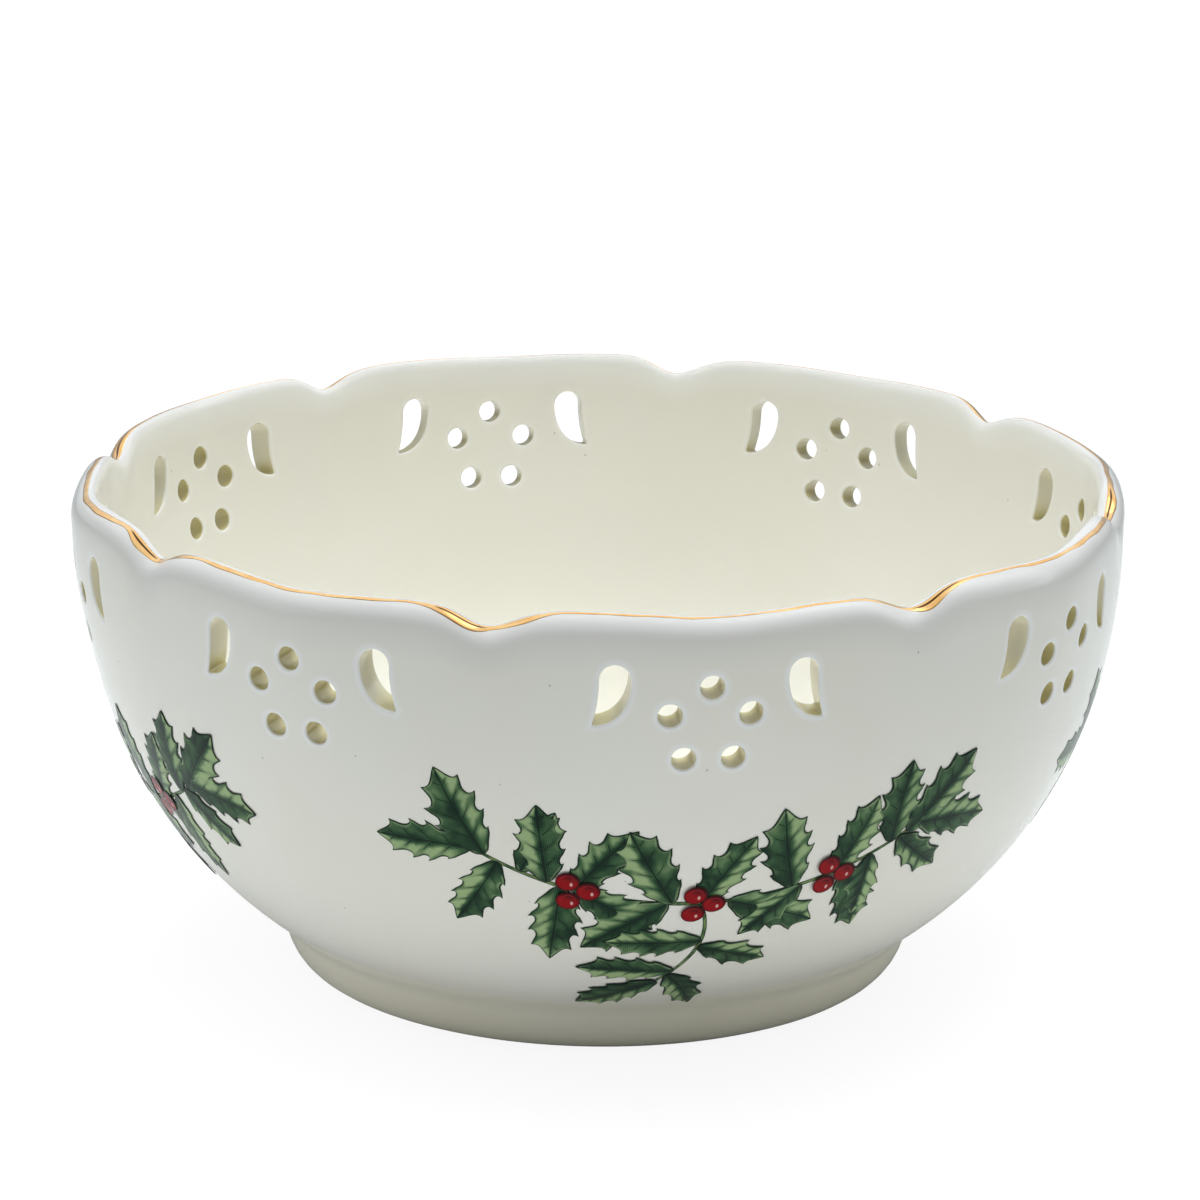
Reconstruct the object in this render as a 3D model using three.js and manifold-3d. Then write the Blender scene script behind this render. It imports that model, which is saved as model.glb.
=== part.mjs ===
// A pierced ceramic bowl with a scalloped, gilded lip and four holly transfers on its wall.
// Millimetres, +Z up. The origin is the centre of the foot's base, and one lobe's middle faces -Y.
import * as THREE from "three";
import { TessellateModifier } from "three/addons/modifiers/TessellateModifier.js";
import { mergeVertices } from "three/addons/utils/BufferGeometryUtils.js";
import Module from "manifold-3d";

const wasm = await Module();
wasm.setup();

// Wall and lip
const LIP_HEIGHT = 94; // crest of the lip at a notch, above the base
const LIP_RADIUS = 101; // outside of the wall where the lip starts to round over
const WALL = 5.2;
const LIP_ROLL = 4.8; // how far down the outside the lip is rounded over
const LIP_LEAN = 4; // how far in from the outside its crest is
const WALL_FULLNESS = 2.25; // exponent of the outside curve: 2 is an ellipse, more is fuller

// Foot and floor
const FOOT_RADIUS = 61.7; // where the foot meets the wall
const FOOT_HEIGHT = 9.9;
const FOOT_BASE_RADIUS = 55.5; // outer edge of the ring that stands on the table
const FOOT_RING_WIDTH = 6.5;
const FOOT_DRAFT = 1.5; // how far the foot's sides lean
const FOOT_RECESS = 4.5; // depth of the hollow underneath
const COVE = 4; // rounding between the foot and the wall
const FLOOR_THICKNESS = 5.5;
const FLOOR_RADIUS = 36; // flat part of the floor inside

// Lobes round the lip
const LOBES = 8;
const HUMP_RISE = 3.55; // crest beside a notch, above the notch
const NOTCH_SPREAD = THREE.MathUtils.degToRad(4);
const MID_DIP = 0.68; // crest at a lobe's middle, below the humps
const DIP_SPREAD = THREE.MathUtils.degToRad(7);
const LOBE_BULGE = 1.6; // how far a lobe's middle swells outwards
const BULGE_SPREAD = THREE.MathUtils.degToRad(8.5);
const BULGE_REACH = 30; // how far down the wall the swell fades out
const RISE_REACH = 12;

// Piercings in each lobe, measured from the middle of the group
const PIERCING_DROP = 16.8; // middle of the group, below the lip at a notch
const PETALS = 5;
const PETAL_CIRCLE = 7.65;
const PETAL_RADIUS = 2.2;
const COMMA_SIDE = 17; // middle of a comma's round head, sideways
const COMMA_RISE = 8.8; // and upwards
const COMMA_RADIUS = 2.8;
const COMMA_TIP_SIDE = 4; // the point, outwards from the head's middle
const COMMA_TIP_DROP = 8.6; // and below it
const COMMA_HOLLOW = 0.7; // how far the outer edge bows in
const COMMA_BELLY = 5.3; // how far down the inner edge stays full
const PUNCH_REACH = 20; // travel of the pins on either side of the wall's face

// Gold band on the crest of the lip
const GILT_TOP = THREE.MathUtils.degToRad(83); // its upper edge, a little outside the crest
const GILT_LOW = THREE.MathUtils.degToRad(69); // its lower edge, on the roll of the lip
const GILT_NOTCH_LOW = THREE.MathUtils.degToRad(46); // where it spreads in a notch
const GILT_THICKNESS = 0.4;
const SEAT_GAP = 0.3; // clearance of what lies on the glaze

// Holly transfers
const SPRAYS = 4;
const SPRAY_HEIGHT = 43; // heart of a spray above the base
const FILM = 0.3; // thickness of the printed film
const STEM_WIDTH = 1;
const STEM_REACH = 41; // ends of the main stem, either side of the heart
const STEM_RISE = 9; // and above it
const STEM_PULL = 17; // handles of its bow, either side of the heart
const STEM_SAG = 6.5; // and below it
const TAIL_SWING = 5.5; // how far the tail swings to the right, then to the left
const TAIL_BEND = 14; // depth of its bend below the heart
const TAIL_DROP = 22.5; // and of its end
const LONG_LEAF = 20;
const LEAF = 18;
const SHORT_LEAF = 15.5;
const LEAF_SLENDERNESS = 0.54; // width over length
const LEAF_ROUNDNESS = 0.6; // less is fuller towards the ends
const LEAF_SPINES = 2; // on each side
const LEAF_HOLLOW = 0.7; // edge between spines, as a share of the full width there
const LEAF_SPINE_SWEEP = 0.8; // how far the spines lean forwards
const LEAF_BEND = 1; // how far a leaf's point curves aside
const BERRIES = 3; // in each cluster
const BERRY_RADIUS = 2.2;
const BERRY_SPACING = 2.45; // from the middle of a cluster

// Facets
const LOBE_SEGMENTS = 8;
const NOTCH_CROWDING = 0.55; // draws the facets towards the notches
const WALL_STEPS = 6;
const LIP_STEPS = 4;
const FOOT_STEPS = 2;
const FLOOR_STEPS = 2;
const GILT_STEPS = 1;
const PETAL_STEPS = 5; // half the sides of a pin
const COMMA_STEPS = 3;
const STEM_STEPS = 8;
const BERRY_STEPS = 8;
const FILM_FACET = 12; // longest edge of the film, so that it follows the wall

const LOBE_ANGLE = (2 * Math.PI) / LOBES;
const lipRound = WALL / 2;
const springHeight = LIP_HEIGHT - lipRound;
const rollHeight = LIP_HEIGHT - LIP_ROLL;
const floorHeight = FOOT_RECESS + FLOOR_THICKNESS;
const piercingHeight = LIP_HEIGHT - PIERCING_DROP;
const crestRadius = LIP_RADIUS - LIP_LEAN;

const glaze = new THREE.MeshStandardMaterial({ name: "ivory_glaze", color: 0xf0ede0, roughness: 0.16 });
const gold = new THREE.MeshStandardMaterial({
  name: "burnished_gold",
  color: 0xd8a048,
  roughness: 0.2,
  metalness: 1,
});
const enamel = new THREE.MeshStandardMaterial({ name: "holly_enamel", color: 0x43663f, roughness: 0.3 });

// Outside of the wall: a superellipse that is upright at the lip and runs down to the top of the foot.
const wallDepth =
  (springHeight - FOOT_HEIGHT) / (1 - (FOOT_RADIUS / LIP_RADIUS) ** WALL_FULLNESS) ** (1 / WALL_FULLNESS);
function wallRadius(z) {
  const below = Math.max(springHeight - z, 0) / wallDepth;
  return LIP_RADIUS * (1 - below ** WALL_FULLNESS) ** (1 / WALL_FULLNESS);
}
function wallNormal(z) {
  const below = Math.max(springHeight - z, 0) / wallDepth;
  const level = wallRadius(z) / LIP_RADIUS;
  const slope = (LIP_RADIUS / wallDepth) * (below / level) ** (WALL_FULLNESS - 1);
  return new THREE.Vector2(1, -slope).normalize();
}

// Angle from the nearest lobe's middle, and the bell curves that shape the lip round it.
function fromLobe(angle) {
  return angle - LOBE_ANGLE * Math.round(angle / LOBE_ANGLE);
}
const bell = (angle, spread) => Math.exp(-((angle / spread) ** 2));
const notchBell = (angle) => bell(LOBE_ANGLE / 2 - Math.abs(fromLobe(angle)), NOTCH_SPREAD);
function lipRise(angle) {
  return HUMP_RISE * (1 - notchBell(angle)) - MID_DIP * bell(fromLobe(angle), DIP_SPREAD);
}
const lobeSwell = (angle) => LOBE_BULGE * bell(fromLobe(angle), BULGE_SPREAD);
const fade = (z, reach) => THREE.MathUtils.smoothstep(z, springHeight - reach, springHeight);

// A closed outline turned about Z, its facets crowded to the notches and its lip lifted into lobes.
// It can be laid differently at each angle.
function turnLobed(outline, lay = (point) => point) {
  const geometry = new THREE.LatheGeometry(outline, LOBES * LOBE_SEGMENTS);
  const position = geometry.attributes.position;
  for (let i = 0; i < position.count; i++) {
    const even = Math.floor(i / outline.length) / LOBE_SEGMENTS; // in lobes, evenly spaced
    const angle = LOBE_ANGLE * (even + (NOTCH_CROWDING * Math.sin(2 * Math.PI * even)) / (2 * Math.PI));
    const point = lay(outline[i % outline.length], angle);
    const radius = point.x === 0 ? 0 : point.x + lobeSwell(angle) * fade(point.y, BULGE_REACH);
    const height = point.y + lipRise(angle) * fade(point.y, RISE_REACH);
    position.setXYZ(i, radius * Math.sin(angle), -radius * Math.cos(angle), height);
  }
  return geometry;
}

// A closed geometry as a solid that can be cut and joined, and back.
function toSolid(geometry) {
  const bare = new THREE.BufferGeometry().setAttribute("position", geometry.attributes.position);
  if (geometry.index) bare.setIndex(geometry.index);
  const merged = mergeVertices(bare, 1e-3);
  const corners = merged.index.array;
  const kept = [];
  for (let i = 0; i < corners.length; i += 3) {
    const [a, b, c] = [corners[i], corners[i + 1], corners[i + 2]];
    if (a !== b && b !== c && c !== a) kept.push(a, b, c);
  }
  const vertProperties = new Float32Array(merged.attributes.position.array);
  return new wasm.Manifold(new wasm.Mesh({ numProp: 3, vertProperties, triVerts: new Uint32Array(kept) }));
}
function toGeometry(solid) {
  const mesh = solid.getMesh();
  return new THREE.BufferGeometry()
    .setAttribute("position", new THREE.BufferAttribute(new Float32Array(mesh.vertProperties), 3))
    .setIndex(new THREE.BufferAttribute(new Uint32Array(mesh.triVerts), 1));
}

// A point over the lip: the turn is 0 on the outside, a right angle at the crest and a half turn inside.
function overLip(turn, lift) {
  const [reach, rise] = turn < Math.PI / 2 ? [LIP_LEAN, LIP_ROLL] : [WALL - LIP_LEAN, lipRound];
  const normal = new THREE.Vector2(Math.cos(turn) * rise, Math.sin(turn) * reach).normalize();
  return new THREE.Vector2(
    crestRadius + Math.cos(turn) * reach,
    LIP_HEIGHT - rise + Math.sin(turn) * rise,
  ).addScaledVector(normal, lift);
}

// Bowl: one outline from the middle of the underside, round the foot, wall and lip, to the floor.
function bowlOutline() {
  const ringInside = FOOT_BASE_RADIUS - FOOT_RING_WIDTH;
  const wallStart = FOOT_HEIGHT + COVE;
  const foot = new THREE.Path()
    .moveTo(0, FOOT_RECESS)
    .lineTo(ringInside - FOOT_DRAFT, FOOT_RECESS)
    .lineTo(ringInside, 0)
    .lineTo(FOOT_BASE_RADIUS, 0)
    .quadraticCurveTo(FOOT_RADIUS - FOOT_DRAFT, 0, FOOT_RADIUS, FOOT_HEIGHT - COVE / 2)
    .quadraticCurveTo(FOOT_RADIUS, FOOT_HEIGHT, wallRadius(wallStart), wallStart)
    .getPoints(FOOT_STEPS);
  const outside = [];
  const inside = [];
  for (let i = 0; i <= WALL_STEPS; i++) {
    const outer = THREE.MathUtils.lerp(wallStart, rollHeight, i / WALL_STEPS);
    outside.push(new THREE.Vector2(wallRadius(outer), outer));
    const z = THREE.MathUtils.lerp(wallStart, springHeight, i / WALL_STEPS);
    inside.unshift(new THREE.Vector2(wallRadius(z), z).addScaledVector(wallNormal(z), -WALL));
  }
  const lip = [];
  for (let i = 1; i < LIP_STEPS; i++) lip.push(overLip((i * Math.PI) / LIP_STEPS, 0));
  const heel = inside.at(-1);
  const floor = new THREE.QuadraticBezierCurve(
    heel,
    new THREE.Vector2((heel.x + FLOOR_RADIUS) / 2, floorHeight),
    new THREE.Vector2(FLOOR_RADIUS, floorHeight),
  ).getPoints(FLOOR_STEPS);
  const middle = new THREE.Vector2(0, floorHeight);
  return [...foot, ...outside.slice(1), ...lip, ...inside.slice(0, -1), ...floor, middle];
}

// Punch for one lobe: round pins in a ring and a comma on either side, all driven the same way.
function commaShape() {
  const head = new THREE.Vector2(COMMA_SIDE, COMMA_RISE);
  const tip = new THREE.Vector2(head.x + COMMA_TIP_SIDE, head.y - COMMA_TIP_DROP);
  const outer = head.x + COMMA_RADIUS;
  const inner = head.x - COMMA_RADIUS;
  return new THREE.Shape()
    .moveTo(tip.x, tip.y)
    .quadraticCurveTo((outer + tip.x) / 2 - COMMA_HOLLOW, (head.y + tip.y) / 2, outer, head.y)
    .absarc(head.x, head.y, COMMA_RADIUS, 0, Math.PI)
    .bezierCurveTo(inner, head.y - COMMA_BELLY, head.x, tip.y, tip.x, tip.y);
}
function petalShape(i) {
  const turn = Math.PI / 2 + (i * 2 * Math.PI) / PETALS;
  const middle = new THREE.Vector2(Math.cos(turn), Math.sin(turn)).multiplyScalar(PETAL_CIRCLE);
  return new THREE.Shape().absarc(middle.x, middle.y, PETAL_RADIUS, 0, 2 * Math.PI);
}
function lobePunch() {
  const normal = wallNormal(piercingHeight);
  const place = new THREE.Matrix4()
    .makeTranslation(0, -wallRadius(piercingHeight), piercingHeight)
    .multiply(new THREE.Matrix4().makeRotationX(Math.PI / 2 + Math.atan2(-normal.y, normal.x)));
  const drive = (shape, curveSegments) =>
    toSolid(
      new THREE.ExtrudeGeometry(shape, { depth: 2 * PUNCH_REACH, bevelEnabled: false, curveSegments })
        .translate(0, 0, -PUNCH_REACH)
        .applyMatrix4(place),
    );
  const comma = drive(commaShape(), COMMA_STEPS);
  const pins = Array.from({ length: PETALS }, (_, i) => drive(petalShape(i), PETAL_STEPS));
  return [...pins, comma, comma.mirror([1, 0, 0])];
}
function bowlBody() {
  let bowl = toSolid(turnLobed(bowlOutline()));
  const punch = lobePunch();
  for (let lobe = 0; lobe < LOBES; lobe++) {
    for (const pin of punch) {
      bowl = bowl.subtract(pin.rotate([0, 0, (360 / LOBES) * lobe]));
    }
  }
  return toGeometry(bowl);
}

// Gold band: a thin strip on the roll of the lip, spread lower in each notch. Its outline is given as
// (share of the way down from its upper edge, height off the glaze).
function giltRim() {
  const under = [];
  const over = [];
  for (let i = 0; i <= GILT_STEPS; i++) {
    under.push(new THREE.Vector2(i / GILT_STEPS, SEAT_GAP));
    over.unshift(new THREE.Vector2(i / GILT_STEPS, SEAT_GAP + GILT_THICKNESS));
  }
  const strip = [...under, ...over, under[0]];
  const lay = (point, angle) => {
    const low = THREE.MathUtils.lerp(GILT_LOW, GILT_NOTCH_LOW, notchBell(angle));
    return overLip(THREE.MathUtils.lerp(GILT_TOP, low, point.x), point.y);
  };
  return toGeometry(toSolid(turnLobed(strip, lay)));
}

// Holly transfers are drawn flat, joined and then laid on the wall. A flat place is (sideways, height):
// sideways is measured round the wall from the spray's heart, at the height of the heart.
const sprayRadius = wallRadius(SPRAY_HEIGHT);
const fromHeart = (side, rise) => new THREE.Vector2(side, SPRAY_HEIGHT + rise);

// Turns true lengths along and across a heading, on the wall, into flat places.
function drawFrom(start, heading) {
  const stretch = new THREE.Vector2(sprayRadius / wallRadius(start.y), wallNormal(start.y).x);
  const turn = new THREE.Vector2();
  return (along, across) =>
    new THREE.Vector2(along, across).rotateAround(turn, heading).multiply(stretch).add(start);
}
function sheet(outline) {
  return toSolid(new THREE.ExtrudeGeometry(new THREE.Shape(outline), { depth: FILM, bevelEnabled: false }));
}

// A spiny leaf: spines and hollows in turn up one edge to the point, and back down the other.
function leafSheet(stem, share, degrees, length) {
  const draw = drawFrom(stem.getPoint(share), THREE.MathUtils.degToRad(degrees));
  const bend = (along) => LEAF_BEND * (along / length) ** 2;
  const left = [draw(0, STEM_WIDTH / 2)];
  const right = [draw(0, -STEM_WIDTH / 2)];
  const rows = 2 * LEAF_SPINES;
  for (let i = 1; i < rows; i++) {
    const full = (length / 2) * LEAF_SLENDERNESS * Math.sin((Math.PI * i) / rows) ** LEAF_ROUNDNESS;
    const spine = i % 2 === 1;
    const half = spine ? full : full * LEAF_HOLLOW;
    const along = (length * i) / rows + (spine ? LEAF_SPINE_SWEEP : 0);
    left.push(draw(along, bend(along) + half));
    right.unshift(draw(along, bend(along) - half));
  }
  return sheet([...left, draw(length, LEAF_BEND), ...right]);
}
function stemSheet(stem) {
  const left = [];
  const right = [];
  for (let i = 0; i <= STEM_STEPS; i++) {
    const share = i / STEM_STEPS;
    const draw = drawFrom(stem.getPoint(share), stem.getTangent(share).angle());
    left.push(draw(0, STEM_WIDTH / 2));
    right.unshift(draw(0, -STEM_WIDTH / 2));
  }
  return sheet([...left, ...right]);
}
function berrySheet(stem, share, turn) {
  const draw = drawFrom(stem.getPoint(share), turn);
  const outline = [];
  for (let i = 0; i < BERRY_STEPS; i++) {
    const round = (i * 2 * Math.PI) / BERRY_STEPS;
    outline.push(draw(BERRY_SPACING + BERRY_RADIUS * Math.cos(round), BERRY_RADIUS * Math.sin(round)));
  }
  return sheet(outline);
}

// One spray: a main stem and a tail that hangs from its heart, both with leaves, and clusters of berries.
const mainStem = new THREE.CubicBezierCurve(
  fromHeart(-STEM_REACH, STEM_RISE),
  fromHeart(-STEM_PULL, -STEM_SAG),
  fromHeart(STEM_PULL, -STEM_SAG),
  fromHeart(STEM_REACH, STEM_RISE),
);
const CLUSTERS = [0.23, 0.5, 0.79]; // along the main stem
const [LEFT, HEART, RIGHT] = CLUSTERS;
const tailStem = new THREE.QuadraticBezierCurve(
  mainStem.getPoint(HEART),
  fromHeart(TAIL_SWING, -TAIL_BEND),
  fromHeart(-TAIL_SWING, -TAIL_DROP),
);
// Leaves: stem, place along it, heading in degrees from rightwards, length
const LEAVES = [
  [mainStem, 0, 178, LEAF],
  [mainStem, 0.03, 118, LONG_LEAF],
  [mainStem, 0.06, 244, LEAF],
  [mainStem, 0.11, 62, SHORT_LEAF],
  [mainStem, 0.17, 96, LEAF],
  [mainStem, 0.2, 262, LONG_LEAF],
  [mainStem, LEFT, 58, LEAF],
  [mainStem, LEFT, -34, LEAF],
  [mainStem, 0.43, 216, LONG_LEAF],
  [mainStem, 0.44, 118, LONG_LEAF],
  [mainStem, HEART, 66, LEAF],
  [mainStem, 0.56, -18, LONG_LEAF],
  [mainStem, 0.7, 108, LONG_LEAF],
  [mainStem, 0.72, 232, SHORT_LEAF],
  [mainStem, RIGHT, 64, LEAF],
  [mainStem, 0.82, -60, LEAF],
  [mainStem, 0.88, -88, SHORT_LEAF],
  [mainStem, 0.93, 94, LEAF],
  [mainStem, 0.95, -42, SHORT_LEAF],
  [mainStem, 0.97, 48, LONG_LEAF],
  [mainStem, 1, -2, LEAF],
  [tailStem, 0.42, 184, LEAF],
  [tailStem, 0.5, -24, SHORT_LEAF],
  [tailStem, 0.84, 172, LEAF],
  [tailStem, 0.9, -58, SHORT_LEAF],
  [tailStem, 1, 218, LEAF],
];
function hollySpray() {
  const sheets = [stemSheet(mainStem), stemSheet(tailStem), ...LEAVES.map((row) => leafSheet(...row))];
  for (const share of CLUSTERS) {
    for (let i = 0; i < BERRIES; i++) {
      sheets.push(berrySheet(mainStem, share, (i * 2 * Math.PI) / BERRIES));
    }
  }
  const flat = toGeometry(sheets.reduce((joined, next) => joined.add(next)));
  const film = new TessellateModifier(FILM_FACET).modify(flat);
  const position = film.attributes.position;
  for (let i = 0; i < position.count; i++) {
    const z = position.getY(i);
    const lift = SEAT_GAP + position.getZ(i);
    const angle = position.getX(i) / sprayRadius;
    const normal = wallNormal(z);
    const radius = wallRadius(z) + normal.x * lift;
    position.setXYZ(i, radius * Math.sin(angle), -radius * Math.cos(angle), z + normal.y * lift);
  }
  return toGeometry(toSolid(film));
}

function piece(name, geometry, material) {
  const mesh = new THREE.Mesh(geometry, material);
  mesh.name = name;
  return mesh;
}

const bowl = new THREE.Group();
bowl.add(piece("bowl_body", bowlBody(), glaze));
bowl.add(piece("gilt_rim", giltRim(), gold));
const spray = hollySpray();
for (let i = 0; i < SPRAYS; i++) {
  const transfer = piece(`holly_transfer_${i + 1}`, spray, enamel);
  transfer.rotation.z = (i * 2 * Math.PI) / SPRAYS;
  bowl.add(transfer);
}

export default bowl;
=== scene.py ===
import math
import random

import bpy
from mathutils import Matrix, Vector
from mathutils.geometry import delaunay_2d_cdt


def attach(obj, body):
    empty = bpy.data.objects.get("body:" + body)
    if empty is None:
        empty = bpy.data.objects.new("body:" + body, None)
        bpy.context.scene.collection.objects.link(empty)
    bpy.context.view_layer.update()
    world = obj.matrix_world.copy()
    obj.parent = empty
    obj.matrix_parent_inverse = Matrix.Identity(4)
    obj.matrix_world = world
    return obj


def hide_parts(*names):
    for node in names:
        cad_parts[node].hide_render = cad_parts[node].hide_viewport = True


# Dresses the pierced bowl: glazed casting, fired gold on the lip and four printed holly sprays.
# Sizes are in millimetres, angles run from -Y towards +X, and points turn to metres as they are made.
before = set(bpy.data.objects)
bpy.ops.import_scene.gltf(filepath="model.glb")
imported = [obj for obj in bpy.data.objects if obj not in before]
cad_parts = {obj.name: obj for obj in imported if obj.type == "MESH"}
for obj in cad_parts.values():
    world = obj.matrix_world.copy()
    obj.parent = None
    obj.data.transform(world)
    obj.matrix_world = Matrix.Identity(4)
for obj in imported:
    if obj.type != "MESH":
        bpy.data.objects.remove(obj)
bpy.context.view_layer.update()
MM = 0.001
rad = math.radians

# Casting
LIP_HEIGHT = 94.0
LIP_RADIUS = 101.0
WALL = 5.2
LIP_ROLL = 4.8  # how far down the outside the lip is rounded over
LIP_LEAN = 4.0  # how far in from the outside its crest is
WALL_FULLNESS = 2.25
FOOT_RADIUS = 61.7
FOOT_HEIGHT = 9.9
FOOT_BASE_RADIUS = 55.5
FOOT_RING_WIDTH = 6.5
FOOT_DRAFT = 1.5
FOOT_RECESS = 4.5
COVE = 4.0
FLOOR_HEIGHT = 10.0
FLOOR_RADIUS = 36.0

# Lobes round the lip
LOBES = 8
LOBE_ANGLE = 2 * math.pi / LOBES
HUMP_RISE = 3.55
NOTCH_SPREAD = rad(4)
MID_DIP = 0.68
DIP_SPREAD = rad(7)
LOBE_BULGE = 1.6
BULGE_SPREAD = rad(8.5)
BULGE_REACH = 30.0
RISE_REACH = 12.0
NOTCH_DIMPLE = 0.55
DIMPLE_REACH = 10.0
# Degrees that each notch strays from its even place, from the one right of the front
NOTCH_SHIFTS = (0.35, 0.5, 1.5, 1.3, 2.4, 0, -1, -1.35)
STRAY_SPREAD = rad(7)

# Piercings in each lobe
PIERCING_HEIGHT = LIP_HEIGHT - 16.8
PETALS = 5
PETAL_CIRCLE = 7.65
PETAL_RADIUS = 2.2
COMMA_SIDE = 17.0
COMMA_RISE = 8.8
COMMA_RADIUS = 2.8
COMMA_TIP_SIDE = 4.0
COMMA_TIP_DROP = 8.6
COMMA_HOLLOW = 0.7
COMMA_BELLY = 5.3
HOLE_EASE = 0.45  # rounding of a hole's edges under the glaze
PIN_FAN = 0.5  # how far each hole turns from its group's middle to its own
PIN_TILT = rad(4)  # how much more a hole slopes than the wall
HAND_SHIFTS = (-1.4, 2.4, 0, 3.6, 3.8, 0.6, -2.2, 0)  # how far each lobe's group sits to one side

# Gold on the lip, as turns over its roll: 0 faces out, a right angle is the crest
GILT_TOP = rad(83)
GILT_LOW = rad(70)
GILT_LOW_SWAY = rad(3.5)
GILT_NOTCH_LOWS = (57, 54, 46, 48, 48, 50, 58, 46)  # degrees, from the notch right of the front
GILT_DRIFTS = ((57, 16), (277, 9))  # degrees round the lip, and how far the band strays down there
DRIFT_SPREAD = rad(9)
GILT_SHOULDER = rad(3.2)  # how far from a notch's bottom its gold is widest
GILT_NEAR_SHARE = 0.4  # how wide it is on the notch's other side
GILT_SWAY_TURN = rad(20)
GILT_WAVERS = ((0.05, 23, 1), (0.04, 41, 0), (0.03, 67, 2))  # size, count round the lip and start
GILT_LIFT = 0.04

# Glaze: how far it pools, partly as painted shade, and how much painted shade and painted highlight it has,
# as shares of the fullest
WALL_PAINTED_SHADE = 0.35  # painted shade, just under the lip's roll
WALL_SHADE_REACH = 4.0
FULLEST_SHADE = rad(40)  # turn over the lip from which its painted shade is fullest
SHADE_FADING = (rad(100), rad(150))  # turns between which the painted shade fades again
HIGHLIGHT_GROWING = (rad(110), rad(150))  # turns between which a painted highlight grows on the inner lip
INNER_LIP_HIGHLIGHT = 0.8
INNER_HIGHLIGHT_REACH = 4.0
INNER_EDGE_HIGHLIGHT = 0.3  # painted highlight round the holes, on the inside
COMMA_POOL_AND_SHADE = 0.4  # in a comma, away from its point
COMMA_POOL_AND_SHADE_START = 4.5
FOOT_POOL_AND_SHADE = 0.32
FOOT_POOL_AND_SHADE_REACH = 4.0
COVE_POOL_AND_SHADE = 0.15
COVE_POOL_AND_SHADE_SPREAD = 2.2
BARE_HEIGHT = 0.35  # of the unglazed ring that the bowl stands on
BARE_EDGE = 0.5
SPECK_CELLS = 150.0  # cells of the glaze in a metre, some with a speck

# Holly sprays
SPRAYS = 4
SPRAY_HEIGHT = 43.0
STEM_WIDTH = 0.9
STEM_REACH = 41.0  # ends of the main stem, either side of the heart
STEM_RISE = 9.0
STEM_PULL = 17.0  # handles of its bow
STEM_SAG = 6.5
TAIL_SWING = 5.5
TAIL_BEND = 14.0
TAIL_DROP = 22.5
LONG_LEAF = 20.0
LEAF = 18.0
SHORT_LEAF = 15.5
LEAF_SHARE = 0.54  # width over length
LEAF_ROUNDNESS = 0.62
LEAF_BEND = 2.2
STALK_HALF = 0.35  # half widths at a leaf's ends
TIP_HALF = 0.1
SPINE_START = 0.2  # where a leaf's spines start and how far they run, as shares of its length
SPINE_RUN = 0.58
SPINE_STRAY = 0.02
SPINE_LEAN = 0.06
SPINE_HOLLOW = 0.26  # how deep the edge is hollowed between two spines
TIP_HOLLOW = 0.2
STALK_HOLLOW = 0.16
VEIN_PITCH = 0.2
BERRY_RADIUS = 2.2
BERRY_SPACING = 2.45
BERRIES = 3  # in a cluster
SPRAY_SEED = 11
PRINT_GLOSS = 0.1
PRINT_LIFT = 0.04
LAYER_LIFT = 0.012

# Fineness
LOBE_COLUMNS = 48
NOTCH_CROWDING = 0.55
BAND_LOW = 64.0
BAND_ROWS = 14
EASE_STEPS = 4
HOLE_STEPS = 3
PETAL_STEPS = 28
COMMA_STEPS = 60
WALL_ROWS = 26
LIP_STEPS = 20
GILT_COLUMNS = 960
GILT_ROWS = 10
STEM_STEPS = 40
SPINE_ARC = 8
LEAF_COLUMNS = 8
BERRY_POINTS = 32
BERRY_ROUNDS = 6
HOLE_MARGIN = 0.9  # first spots round a hole
CLEAR_OF_HOLE = 1.7  # nearest that an even spot comes to a hole
MEET_ROUNDS = 10
SMALL_TURN = 0.001
SMALL_RISE = 0.05
UNDER_RADII = (12, 24, 34, 42)
RING_RADII = (51, 52.5, 54)
FLOOR_RADII = (27, 18, 9)

lip_round = WALL / 2
spring = LIP_HEIGHT - lip_round
roll_start = LIP_HEIGHT - LIP_ROLL
crest_radius = LIP_RADIUS - LIP_LEAN
foot_share = 1 - (FOOT_RADIUS / LIP_RADIUS) ** WALL_FULLNESS
wall_depth = (spring - FOOT_HEIGHT) / foot_share ** (1 / WALL_FULLNESS)
ring_inside = FOOT_BASE_RADIUS - FOOT_RING_WIDTH


# Shape of the wall and lip
def wall_radius(z):
    below = max(spring - z, 0) / wall_depth
    return LIP_RADIUS * (1 - below**WALL_FULLNESS) ** (1 / WALL_FULLNESS)


def wall_normal(z):
    below = max(spring - z, 0) / wall_depth
    level = wall_radius(z) / LIP_RADIUS
    slope = (LIP_RADIUS / wall_depth) * (below / level) ** (WALL_FULLNESS - 1)
    return Vector((1, -slope)).normalized()


def from_lobe(angle):
    return angle - LOBE_ANGLE * round(angle / LOBE_ANGLE)


def bell(angle, spread):
    return math.exp(-((angle / spread) ** 2))


def set_even(angle):
    """An angle's place on a lip whose notches are evenly spaced."""
    notch = math.floor(angle / LOBE_ANGLE)
    past = angle - (notch + 0.5) * LOBE_ANGLE
    return angle - rad(NOTCH_SHIFTS[notch % LOBES]) * bell(past, STRAY_SPREAD)


def notch_bell(lobe_angle):
    return bell(LOBE_ANGLE / 2 - abs(lobe_angle), NOTCH_SPREAD)


def fade(z, reach):
    share = min(max((z - spring + reach) / reach, 0), 1)
    return share * share * (3 - 2 * share)


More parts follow.
